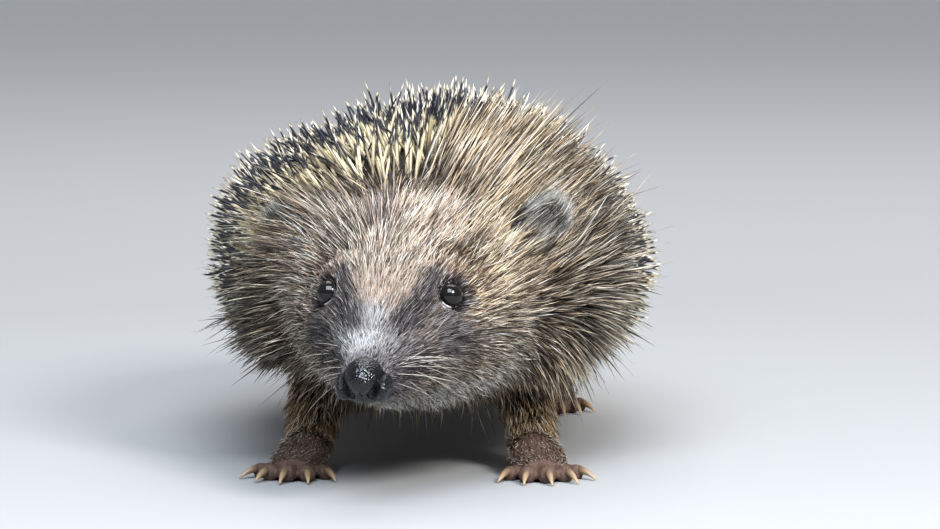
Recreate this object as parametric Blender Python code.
"""A life-size still model of a European hedgehog, standing with its head lowered and turned right.

The solids give the animal's outline out to the tips of its fur and spines. It faces -Y, +X is its left
side, +Z is up, and the origin is on the floor under the middle of its bounding box.
"""

import math

import bmesh
import bpy
import numpy as np
from mathutils import Matrix, Vector

MM = 0.001
GAP = 0.3 * MM  # between neighbouring pieces
SPECK = 0.03 * MM  # points closer together than this are one point
REACH = 200 * MM  # half the size of a cutter that reaches past the whole animal

# ---- Driving sizes ----------------------------------------------------------------------------
HEAD_YAW = math.radians(10)  # head turned to the animal's right
HEAD_PITCH = math.radians(12)  # muzzle lowered
NECK_PIVOT = Vector((0, -58, 40)) * MM  # where the head's axis meets the trunk's
ROUNDNESS = 2.08  # exponent of the superellipse of every body section; 2 is an ellipse
RING_SEGMENTS = 36

EYE_RADIUS = 2.9 * MM
EYE_AHEAD, EYE_ASIDE, EYE_ABOVE = 28.6 * MM, 13.6 * MM, 10.9 * MM  # eyeball centre, from the neck pivot

EAR_AHEAD, EAR_ASIDE, EAR_ABOVE = 5.5 * MM, 25.5 * MM, 14.0 * MM  # foot of the ear, from the neck pivot
EAR_LENGTH, EAR_WIDTH, EAR_THICKNESS, EAR_CUP = 17 * MM, 14.5 * MM, 1.5 * MM, 2.4 * MM
EAR_ROOT = 6 * MM  # length of the ear inside the head's outline

SKIRT_INSET = 4.0 * MM  # how far the belly stands in from the spiny back's lower edge
TAIL_RADIUS = 4.2 * MM
TAIL_ROOT = Vector((0, 88, 30)) * MM

FORE_STANCE = Vector((25.5, -51, 0)) * MM  # the left forefoot's heel on the floor
HIND_STANCE = Vector((27, 62, 0)) * MM  # under the middle of the left hind foot
FORE_TURN, HIND_TURN = math.radians(12), math.radians(14)  # toes turned outwards

# ---- Body stations ---------------------------------------------------------------------------
# Head: distance ahead of the neck pivot along its axis, half width, rise above it, drop below it.
HEAD_STATIONS = [
    (62.2, 0, 0, 0),  # tip of the nose
    (61.2, 3.6, 2.8, 3.0),
    (58.6, 5.5, 4.7, 4.4),
    (55.0, 6.2, 5.7, 5.0),  # back of the nose pad
    (50.5, 7.2, 7.2, 6.8),
    (45.0, 9.2, 9.4, 9.6),  # chin
    (38.5, 12.8, 12.4, 12.0),
    (31.5, 17.4, 16.2, 14.6),
    (25.0, 21.4, 19.4, 17.2),  # behind the eyes
    (18.0, 25.6, 23.6, 19.6),  # brow
    (11.0, 29.6, 30.4, 21.6),  # first raised spines
    (3.5, 34.0, 37.6, 23.4),
]
# Trunk: distance behind the origin, height of the axis, half width, rise above it, drop below it.
TRUNK_STATIONS = [
    (-53, 41.0, 39.5, 43.0, 26.5),
    (-42, 41.5, 46.0, 45.5, 30.5),  # shoulders
    (-26, 42.0, 51.6, 45.6, 33.5),
    (-6, 42.0, 55.4, 44.4, 35.0),
    (16, 41.5, 56.4, 43.4, 35.0),  # widest part of the back
    (38, 41.0, 54.6, 41.6, 34.0),
    (60, 40.0, 49.0, 38.0, 32.0),  # haunches
    (79, 38.5, 39.4, 32.5, 28.0),
    (94, 36.0, 27.0, 24.6, 21.5),
    (103.5, 34.0, 14.0, 13.4, 12.0),
    (107, 33.4, 0, 0, 0),  # rump
]
LAST_STATION = len(HEAD_STATIONS) + len(TRUNK_STATIONS) - 1
BELLY_END = LAST_STATION - 1.2
NOSE_END, HEAD_END, NECK_END = 3.25, 11.6, 13.4  # where the nose, head and neck end, in stations

# ---- Materials: colour, roughness ------------------------------------------------------------
FINISHES = {
    "face_fur": ((0.46, 0.37, 0.28), 0.8),
    "spines": ((0.36, 0.29, 0.21), 0.6),
    "belly_fur": ((0.33, 0.26, 0.2), 0.85),
    "nose_leather": ((0.02, 0.02, 0.022), 0.3),
    "eye": ((0.012, 0.01, 0.012), 0.08),
    "ear_skin": ((0.24, 0.21, 0.2), 0.75),
    "foot_skin": ((0.2, 0.16, 0.14), 0.7),
}


def material(name):
    """The Principled material of that finish, made once."""
    made = bpy.data.materials.get(name)
    if made is None:
        colour, roughness = FINISHES[name]
        made = bpy.data.materials.new(name)
        made.use_nodes = True
        shader = made.node_tree.nodes["Principled BSDF"]
        shader.inputs["Base Color"].default_value = (*colour, 1)
        shader.inputs["Roughness"].default_value = roughness
        shader.inputs["Metallic"].default_value = 0
    return made


# ---- Tools -----------------------------------------------------------------------------------
def head_axes():
    """The head's left, forward and up directions."""
    left = Vector((math.cos(HEAD_YAW), -math.sin(HEAD_YAW), 0))
    level = math.cos(HEAD_PITCH)
    forward = Vector((-math.sin(HEAD_YAW) * level, -math.cos(HEAD_YAW) * level, -math.sin(HEAD_PITCH)))
    return left, forward, forward.cross(left)


def head_point(ahead, aside, above):
    """A point given by its distances along the head's own axes from the neck pivot."""
    left, forward, up = head_axes()
    return NECK_PIVOT + forward * ahead + left * aside + up * above


def add_object(name, points, faces, finish):
    """A mesh object with outward faces, shaded smooth."""
    mesh = bpy.data.meshes.new(name)
    mesh.from_pydata([tuple(p) for p in points], [], faces)
    tidy = bmesh.new()
    tidy.from_mesh(mesh)
    bmesh.ops.recalc_face_normals(tidy, faces=tidy.faces)
    tidy.to_mesh(mesh)
    tidy.free()
    mesh.shade_smooth()
    mesh.set_sharp_from_angle(angle=math.radians(40))
    mesh.materials.append(material(finish))
    made = bpy.data.objects.new(name, mesh)
    bpy.context.scene.collection.objects.link(made)
    return made


def as_cutter(guide):
    """Marks a guide shape, which isn't part of the model."""
    guide.hide_render = True
    guide.display_type = "WIRE"
    return guide


def combine(target, other, operation):
    """Adds a live Boolean of target with other."""
    step = target.modifiers.new(f"{operation.lower()} {other.name}", "BOOLEAN")
    step.operation = operation
    step.object = other
    step.solver = "EXACT"


def weld(target):
    """Joins the points that cuts left closer together than SPECK, so that no sliver is left."""
    step = target.modifiers.new("weld", "WELD")
    step.merge_threshold = SPECK


def swollen(source, name, distance):
    """A cutter that is source grown outwards by distance."""
    shape = bmesh.new()
    shape.from_mesh(source.data)
    shape.normal_update()
    moves = [(v, v.normal * distance) for v in shape.verts]
    for vertex, move in moves:
        vertex.co += move
    mesh = bpy.data.meshes.new(name)
    shape.to_mesh(mesh)
    shape.free()
    made = bpy.data.objects.new(name, mesh)
    bpy.context.scene.collection.objects.link(made)
    return as_cutter(made)


def ring_faces(rings, segments):
    """Quads between consecutive rings of a closed tube."""
    faces = []
    for r in range(rings - 1):
        for s in range(segments):
            a, b = r * segments + s, r * segments + (s + 1) % segments
            faces.append((a, b, b + segments, a + segments))
    return faces


def tube(name, rings, finish, tip_start=None, tip_end=None):
    """A closed tube through equal rings of points, ended by flat faces or by tips."""
    segments = len(rings[0])
    points = [p for ring in rings for p in ring]
    faces = ring_faces(len(rings), segments)
    last = (len(rings) - 1) * segments
    for tip, first, turn in ((tip_start, 0, -1), (tip_end, last, 1)):
        edge = [first + s for s in range(segments)][::turn]
        if tip is None:
            faces.append(tuple(edge))
        else:
            points.append(tip)
            faces += [(edge[i], edge[(i + 1) % segments], len(points) - 1) for i in range(segments)]
    return add_object(name, points, faces, finish)


def prism(name, outline, place, half_width):
    """A cutter: an outline in a side view, extruded to both sides. place(a, side, b) puts its points."""
    points = [place(a, side, b) for side in (-half_width, half_width) for a, b in outline]
    n = len(outline)
    faces = [tuple(range(n)), tuple(range(2 * n - 1, n - 1, -1))]
    faces += [(i, (i + 1) % n, (i + 1) % n + n, i + n) for i in range(n)]
    return as_cutter(add_object(name, points, faces, "face_fur"))


def ellipsoid(name, centre, radii, turn, finish, subdivisions=3):
    """An ellipsoid from an icosphere, scaled and turned in its mesh."""
    shape = bmesh.new()
    bmesh.ops.create_icosphere(shape, subdivisions=subdivisions, radius=1)
    shape.transform(Matrix.Translation(centre) @ turn.to_4x4() @ Matrix.Diagonal((*radii, 1)))
    mesh = bpy.data.meshes.new(name)
    shape.to_mesh(mesh)
    shape.free()
    mesh.shade_smooth()
    mesh.materials.append(material(finish))
    made = bpy.data.objects.new(name, mesh)
    bpy.context.scene.collection.objects.link(made)
    return made


# ---- The body surface ------------------------------------------------------------------------
def station_table():
    """All stations as rows of centre, half width, rise, drop, yaw and pitch, in metres and radians."""
    rows = []
    for ahead, half_width, rise, drop in HEAD_STATIONS:
        centre = NECK_PIVOT + head_axes()[1] * ahead * MM
        rows.append([*centre, half_width * MM, rise * MM, drop * MM, HEAD_YAW, HEAD_PITCH])
    for back, height, half_width, rise, drop in TRUNK_STATIONS:
        rows.append([0, back * MM, height * MM, half_width * MM, rise * MM, drop * MM, 0, 0])
    return np.array(rows)


def station_at(along):
    """The station table between its rows: a cubic through them, with mirrored rows past the ends."""
    rows = station_table()
    mirror = np.array([1, 1, 1, -1, -1, -1, 1, 1])
    padded = np.vstack([rows[1] * mirror, rows, rows[-2] * mirror])
    slopes = ((padded[2:] - padded[:-2]) / 2)
    i = min(int(along), len(rows) - 2)
    t = along - i
    t2, t3 = t * t, t * t * t
    return (rows[i] * (2 * t3 - 3 * t2 + 1) + slopes[i] * (t3 - 2 * t2 + t)
            + rows[i + 1] * (3 * t2 - 2 * t3) + slopes[i + 1] * (t3 - t2))


def body_ring(along, inset=0.0):
    """One section of the body: a superellipse with its own rise and drop, turned as its station is."""
    x, y, z, half_width, rise, drop, yaw, pitch = station_at(along)
    half_width, rise, drop = (max(size - inset, 0.2 * MM) for size in (half_width, rise, drop))
    side = Vector((math.cos(yaw), -math.sin(yaw), 0))
    level = math.cos(pitch)
    up = Vector((-math.sin(yaw) * level, -math.cos(yaw) * level, -math.sin(pitch))).cross(side)
    ring = []
    for s in range(RING_SEGMENTS):
        angle = 2 * math.pi * s / RING_SEGMENTS
        across, upwards = math.sin(angle), math.cos(angle)
        across = math.copysign(abs(across) ** (2 / ROUNDNESS), across)
        upwards = math.copysign(abs(upwards) ** (2 / ROUNDNESS), upwards)
        height = rise if upwards > 0 else drop
        ring.append(Vector((x, y, z)) + side * half_width * across + up * height * upwards)
    return ring


def body_length(name, start, end, rings, finish, inset=0.0):
    """A length of the body between two stations, ended by a tip at the nose and the rump."""
    at_nose, at_rump = start <= 0, end >= LAST_STATION
    steps = np.linspace(start, end, rings)
    tip_start = Vector(station_at(0)[:3]) if at_nose else None
    tip_end = Vector(station_at(LAST_STATION)[:3]) if at_rump else None
    steps = steps[1 if at_nose else 0:-1 if at_rump else None]
    return tube(name, [body_ring(t, inset) for t in steps], finish, tip_start, tip_end)


def gap_in_stations(along):
    """Half the gap between two lengths of the body, measured in stations at that place."""
    step = 0.05
    moved = Vector(station_at(along + step)[:3]) - Vector(station_at(along - step)[:3])
    return GAP * 2 * step / moved.length / 2


# ---- Head ------------------------------------------------------------------------------------
MOUTH_LINE = [(47.6, -20), (47.6, -5.6), (44, -5.2), (36, -6.0), (28, -7.6), (23, -11), (21, -20)]
JAW_HALF_WIDTH = 9.4 * MM


def mouth_cutter(name, shift):
    """The region of the lower jaw: everything under the line of the mouth, moved down by shift."""
    outline = []
    for ahead, above in MOUTH_LINE:
        inwards = -1 if ahead > 40 else 1
        outline.append((ahead * MM + shift * inwards, above * MM - shift))
    return prism(name, outline, head_point, JAW_HALF_WIDTH - shift)


def make_head():
    """The head without its nose pad, with sockets for the eyes, and the lower jaw parted from it."""
    front = NOSE_END + gap_in_stations(NOSE_END)
    back = HEAD_END - gap_in_stations(HEAD_END)
    head = body_length("head", front, back, 20, "face_fur")
    jaw = body_length("lower_jaw", front, back, 20, "face_fur")
    combine(head, mouth_cutter("jaw_region", -GAP / 2), "DIFFERENCE")
    combine(jaw, mouth_cutter("jaw_shape", GAP / 2), "INTERSECT")
    for name, side in (("left", 1), ("right", -1)):
        centre = head_point(EYE_AHEAD, side * EYE_ASIDE, EYE_ABOVE)
        ellipsoid(f"eye_{name}", centre, [EYE_RADIUS] * 3, Matrix.Identity(3), "eye", 2)
        around_eye = [EYE_RADIUS + 2 * GAP] * 3
        socket = ellipsoid(f"socket_{name}", centre, around_eye, Matrix.Identity(3), "eye", 2)
        combine(head, as_cutter(socket), "DIFFERENCE")
    weld(head)
    weld(jaw)


NOSE_BACK = 54.25  # the flat back of the nose pad, ahead of the neck pivot
NOSE_WING = dict(ahead=56.6, aside=4.7, above=-0.6, radii=(2.3, 2.9, 2.6))
NOSTRIL = dict(ahead=59.2, aside=4.9, above=0.4, radii=(0.9, 2.2, 0.8), turn=math.radians(32))


def nose_ellipsoid(name, sizes, side, turn):
    """An ellipsoid cutter of the nose, placed on one side and turned."""
    centre = head_point(sizes["ahead"] * MM, side * sizes["aside"] * MM, sizes["above"] * MM)
    radii = [radius * MM for radius in sizes["radii"]]
    return as_cutter(ellipsoid(name, centre, radii, turn, "nose_leather", 2))


def make_nose():
    """The nose pad, with a swollen wing and a slit nostril on each side."""
    nose = body_length("nose", 0, NOSE_END - gap_in_stations(NOSE_END), 9, "nose_leather")
    left, forward, up = head_axes()
    head_turn = Matrix((left, -forward, up)).transposed()
    for side in (1, -1):
        combine(nose, nose_ellipsoid(f"wing_{side}", NOSE_WING, side, head_turn), "UNION")
    behind, aside = (NOSE_BACK - 15) * MM, 12 * MM
    outline = [(behind, -aside), (NOSE_BACK * MM, -aside), (NOSE_BACK * MM, aside), (behind, aside)]
    combine(nose, prism("behind_nose", outline, head_point, aside), "DIFFERENCE")
    for side in (1, -1):
        turn = head_turn @ Matrix.Rotation(side * NOSTRIL["turn"], 3, "Z")
        combine(nose, nose_ellipsoid(f"nostril_{side}", NOSTRIL, side, turn), "DIFFERENCE")
    weld(nose)


def ear_outline(rows):
    """Rows of distance along the ear and half width: straight sides, then a half ellipse."""
    shoulder = 0.52 * (EAR_LENGTH + EAR_ROOT)
    crown = 0.48 * (EAR_LENGTH + EAR_ROOT)
    outline = [(shoulder * step / 2, EAR_WIDTH / 2) for step in (0, 1)]
    for step in range(rows - 2):
        angle = math.radians(82) * step / (rows - 3)
        outline.append((shoulder + crown * math.sin(angle), EAR_WIDTH / 2 * math.cos(angle)))
    return outline


def make_ear(name, side, body):
    """A cupped, round shell that stands out of the fur behind the eye."""
    left, forward, up = head_axes()
    rise = (up * 0.88 + left * side * 0.42 - forward * 0.22).normalized()
    facing = (forward * 0.76 + left * side * 0.65).normalized()
    across = rise.cross(facing).normalized()
    facing = across.cross(rise)
    foot = head_point(EAR_AHEAD, side * EAR_ASIDE, EAR_ABOVE) - rise * EAR_ROOT
    columns, rows = 8, 10
    front, back = [], []
    for along, half in ear_outline(rows):
        depth = EAR_CUP * math.sin(math.pi * 0.8 * min(along / EAR_LENGTH, 1))
        for c in range(columns):
            u = 2 * c / (columns - 1) - 1
            middle = foot + rise * along + across * half * u - facing * depth * (1 - u * u)
            front.append(middle + facing * EAR_THICKNESS / 2)
            back.append(middle - facing * EAR_THICKNESS / 2)
    count = rows * columns
    faces = []
    for r in range(rows - 1):
        for c in range(columns - 1):
            a = r * columns + c
            faces.append((a, a + 1, a + 1 + columns, a + columns))
            faces.append(tuple(i + count for i in (a, a + columns, a + 1 + columns, a + 1)))
    rim = list(range(columns)) + [r * columns + columns - 1 for r in range(1, rows)]
    rim += [(rows - 1) * columns + c for c in range(columns - 2, -1, -1)]
    rim += [r * columns for r in range(rows - 2, 0, -1)]
    for a, b in zip(rim, rim[1:] + rim[:1]):
        faces.append((a, b, b + count, a + count))
    ear = add_object(name, front + back, faces, "ear_skin")
    combine(ear, body, "DIFFERENCE")
    weld(ear)


# ---- Trunk -----------------------------------------------------------------------------------
SKIRT_LINE = [(-70, 25), (-46, 23), (-25, 19.5), (0, 17.5), (35, 17.5), (65, 19.5), (90, 24), (120, 29)]


def skirt_cutter(name, shift):
    """Everything below the spiny back's lower edge, moved down by shift."""
    outline = [(back * MM, height * MM - shift) for back, height in SKIRT_LINE]
    outline += [(back, -REACH / 4) for back, height in (outline[-1], outline[0])]
    return prism(name, outline, lambda back, side, height: Vector((side, back, height)), REACH)


def make_trunk():
    """The neck, the spiny back that ends in a skirt, and the furred belly that stands in from it."""
    front, back = HEAD_END + gap_in_stations(HEAD_END), NECK_END - gap_in_stations(NECK_END)
    body_length("neck", front, back, 7, "face_fur")
    start = NECK_END + gap_in_stations(NECK_END)
    mantle = body_length("trunk_spiny_back", start, LAST_STATION, 25, "spines")
    combine(mantle, skirt_cutter("below_skirt", 0), "DIFFERENCE")
    belly = body_length("trunk_belly", start, BELLY_END, 20, "belly_fur", SKIRT_INSET)
    combine(belly, skirt_cutter("belly_region", GAP), "INTERSECT")


def make_tail(body):
    """A short blunt cone under the rump, its root inside the trunk's outline."""
    sides, length, fall = 12, 23, 9
    rings = []
    for t in np.linspace(0, 1, 7):
        centre = TAIL_ROOT + Vector((0, length * t, -fall * t * t)) * MM
        radius = TAIL_RADIUS * (1 - 0.55 * t)
        rings.append([centre + Vector((math.cos(a), 0, math.sin(a))) * radius
                      for a in (2 * math.pi * s / sides for s in range(sides))])
    tip = TAIL_ROOT + Vector((0, length + 3, -fall - 1.4)) * MM
    tail = tube("tail", rings, "belly_fur", tip_end=tip)
    combine(tail, body, "DIFFERENCE")
    weld(tail)


# ---- Legs ------------------------------------------------------------------------------------
LEG_SIDES, SOLE_SIDES, TOE_SIDES = 16, 12, 8
# leg: centre and radius, from the body down; sole: distance ahead, height, half width and half height, from
# the heel to the knuckles; toes: spread in degrees, reach from the knuckles and radius. In millimetres.
FORE = dict(
    leg=[((19, -34, 30), 10), ((21.5, -36.5, 22), 9.2), ((24, -41.5, 14.5), 7.2), ((25.2, -46, 9.4), 5.6),
         ((25.5, -49, 6.6), 4.7)],
    stance=FORE_STANCE, turn=FORE_TURN,
    sole=[(-3.2, 4.2, 2.1, 2.4), (-1.5, 4.5, 4.1, 4.1), (2.5, 4.6, 5.7, 4.7), (7, 3.5, 6.6, 3.8),
          (11, 2.6, 6.3, 3.1), (13.5, 2.3, 4.4, 2.5)],
    knuckles=10.5, knuckle_width=6.2,
    toes=[(-38, 7.4, 1.9), (-18, 9.4, 2.1), (0, 10.2, 2.2), (18, 9.6, 2.1), (38, 7.8, 1.9)], claw=4.8,
)
HIND = dict(
    leg=[((18, 50, 28), 10.5), ((21, 50.5, 21), 9.5), ((24, 57, 14.5), 7.8), ((26.5, 66, 9.6), 5.8),
         ((27, 70, 6.8), 4.9)],
    stance=HIND_STANCE, turn=HIND_TURN,
    sole=[(-17, 4.1, 2.2, 2.4), (-15, 4.4, 4.2, 4.6), (-8, 4.4, 5.0, 4.7), (-1, 3.5, 5.8, 3.8),
          (4.5, 2.6, 6.0, 3.1), (7.5, 2.3, 4.2, 2.5)],
    knuckles=4.2, knuckle_width=5.6,
    toes=[(-31, 7.0, 1.9), (-14, 9.0, 2.1), (0, 9.8, 2.1), (14, 9.2, 2.1), (31, 7.4, 1.9)], claw=4.5,
)


def leg_rings(path, side, swell=0.0):
    """Level-by-level rings of a leg along its path of centres and radii, in millimetres."""
    rings = []
    for i, (centre, radius) in enumerate(path):
        before = Vector(path[max(i - 1, 0)][0])
        after = Vector(path[min(i + 1, len(path) - 1)][0])
        along = (after - before).normalized()
        across = along.cross(Vector((0, 1, 0))).normalized()
        other = across.cross(along)
        ring = []
        for s in range(LEG_SIDES):
            a = 2 * math.pi * s / LEG_SIDES
            p = Vector(centre) + (across * math.cos(a) + other * math.sin(a)) * (radius + swell)
            ring.append(Vector((p.x * side, p.y, p.z)) * MM)
        rings.append(ring)
    return rings


def make_limb(limb, kind, name, side, body_guide, floor):
    """One leg and its foot: a sole with five toes and claws, cut flat where it meets the floor."""
    leg = tube(f"{kind}leg_{name}", leg_rings(limb["leg"], side), "belly_fur")
    combine(leg, body_guide, "DIFFERENCE")
    weld(leg)
    turn = Matrix.Rotation(side * limb["turn"], 3, "Z")
    heel = Vector((limb["stance"].x * side, limb["stance"].y, 0))

    def spot(aside, ahead, above):
        return heel + turn @ (Vector((aside * side, -ahead, above)) * MM)

    rings = sole_rings(limb["sole"], spot)
    foot = tube(f"{kind}foot_{name}", rings, "foot_skin")
    for index, (spread, reach, radius) in enumerate(limb["toes"]):
        angle = math.radians(spread)
        ahead, aside = math.cos(angle), math.sin(angle)
        width = limb["knuckle_width"]
        start = (aside * width, limb["knuckles"] - width * 1.5 * (1 - ahead))
        profile = toe_profile(reach, radius, limb["claw"])
        toe = tapering(f"toe_{kind}_{name}_{index}", spot, start, (ahead, aside), profile)
        combine(foot, as_cutter(toe), "UNION")
    combine(foot, floor, "DIFFERENCE")
    around_leg = leg_rings(limb["leg"], side, swell=GAP / MM)
    ankle = as_cutter(tube(f"ankle_{kind}_{name}", around_leg, "foot_skin"))
    shift_end(ankle, GAP)
    combine(foot, ankle, "DIFFERENCE")
    weld(foot)


def sole_rings(rows, spot):
    """Rings across the foot from rows of distance ahead, height, half width and half height."""
    turns = [2 * math.pi * (s + 0.5) / SOLE_SIDES for s in range(SOLE_SIDES)]
    return [[spot(math.cos(a) * wide, ahead, height + math.sin(a) * high) for a in turns]
            for ahead, height, wide, high in rows]


def shift_end(ankle, distance):
    """Moves the ankle cutter's lowest ring down, so that the foot stays clear of the leg's end."""
    for vertex in list(ankle.data.vertices)[-LEG_SIDES:]:
        vertex.co.z -= distance


def toe_profile(reach, radius, claw_length):
    """Rows of distance, height and radius along a toe, thickest at its pad, and along its bent claw."""
    rows = []
    for along, thick in ((-0.15, 0.75), (0.4, 0.92), (0.78, 1.0), (0.96, 0.8)):
        rows.append((reach * along, radius * 0.95 - 0.3, radius * thick))
    for along, half in ((0.08, 0.85), (0.5, 0.65), (1.0, 0.28)):
        rows.append((reach + claw_length * along, radius * (1.1 - 0.6 * along ** 2), half))
    return rows


def tapering(name, spot, start, heading, profile):
    """A tube along a toe's heading, with flat ends, from rows of distance, height and radius."""
    ahead, aside = heading
    rings = []
    for forward, height, half in profile:
        centre = (start[0] + aside * forward, start[1] + ahead * forward)
        ring = []
        for s in range(TOE_SIDES):
            a = 2 * math.pi * s / TOE_SIDES
            across, above = math.cos(a) * half, math.sin(a) * half
            ring.append(spot(centre[0] + ahead * across, centre[1] - aside * across, height + above))
        rings.append(ring)
    return tube(name, rings, "foot_skin")


# ---- Whole animal ----------------------------------------------------------------------------
def stand_on_origin():
    """Moves everything so that the origin is under the middle of the bounding box, on the floor."""
    bpy.context.view_layer.update()
    shown = [o for o in bpy.data.objects if not o.hide_render]
    graph = bpy.context.evaluated_depsgraph_get()
    corners = np.array([v.co for o in shown for v in o.evaluated_get(graph).data.vertices])
    low, high = corners.min(axis=0), corners.max(axis=0)
    move = Matrix.Translation((-(low[0] + high[0]) / 2, -(low[1] + high[1]) / 2, 0))
    for made in bpy.data.objects:
        made.data.transform(move)


def main():
    for old in list(bpy.data.objects):
        bpy.data.objects.remove(old)
    make_head()
    make_nose()
    make_trunk()
    whole = as_cutter(body_length("whole_body", 0, LAST_STATION, 60, "face_fur"))
    around_body = swollen(whole, "around_body", GAP)
    belly = as_cutter(body_length("whole_belly", NECK_END - 2, BELLY_END, 30, "belly_fur", SKIRT_INSET))
    around_underside = swollen(belly, "around_belly", 2 * GAP)
    front = as_cutter(body_length("whole_front", 0, NECK_END + 0.02, 31, "face_fur"))
    combine(around_underside, swollen(front, "around_front", 2 * GAP), "UNION")
    ground = [(-REACH, -REACH / 4), (REACH, -REACH / 4), (REACH, 0), (-REACH, 0)]
    floor = prism("floor", ground, lambda back, side, height: Vector((side, back, height)), REACH)
    make_tail(around_body)
    for name, side in (("left", 1), ("right", -1)):
        make_ear(f"ear_{name}", side, around_body)
        make_limb(FORE, "fore", name, side, around_underside, floor)
        make_limb(HIND, "hind", name, side, around_underside, floor)
    stand_on_origin()


main()
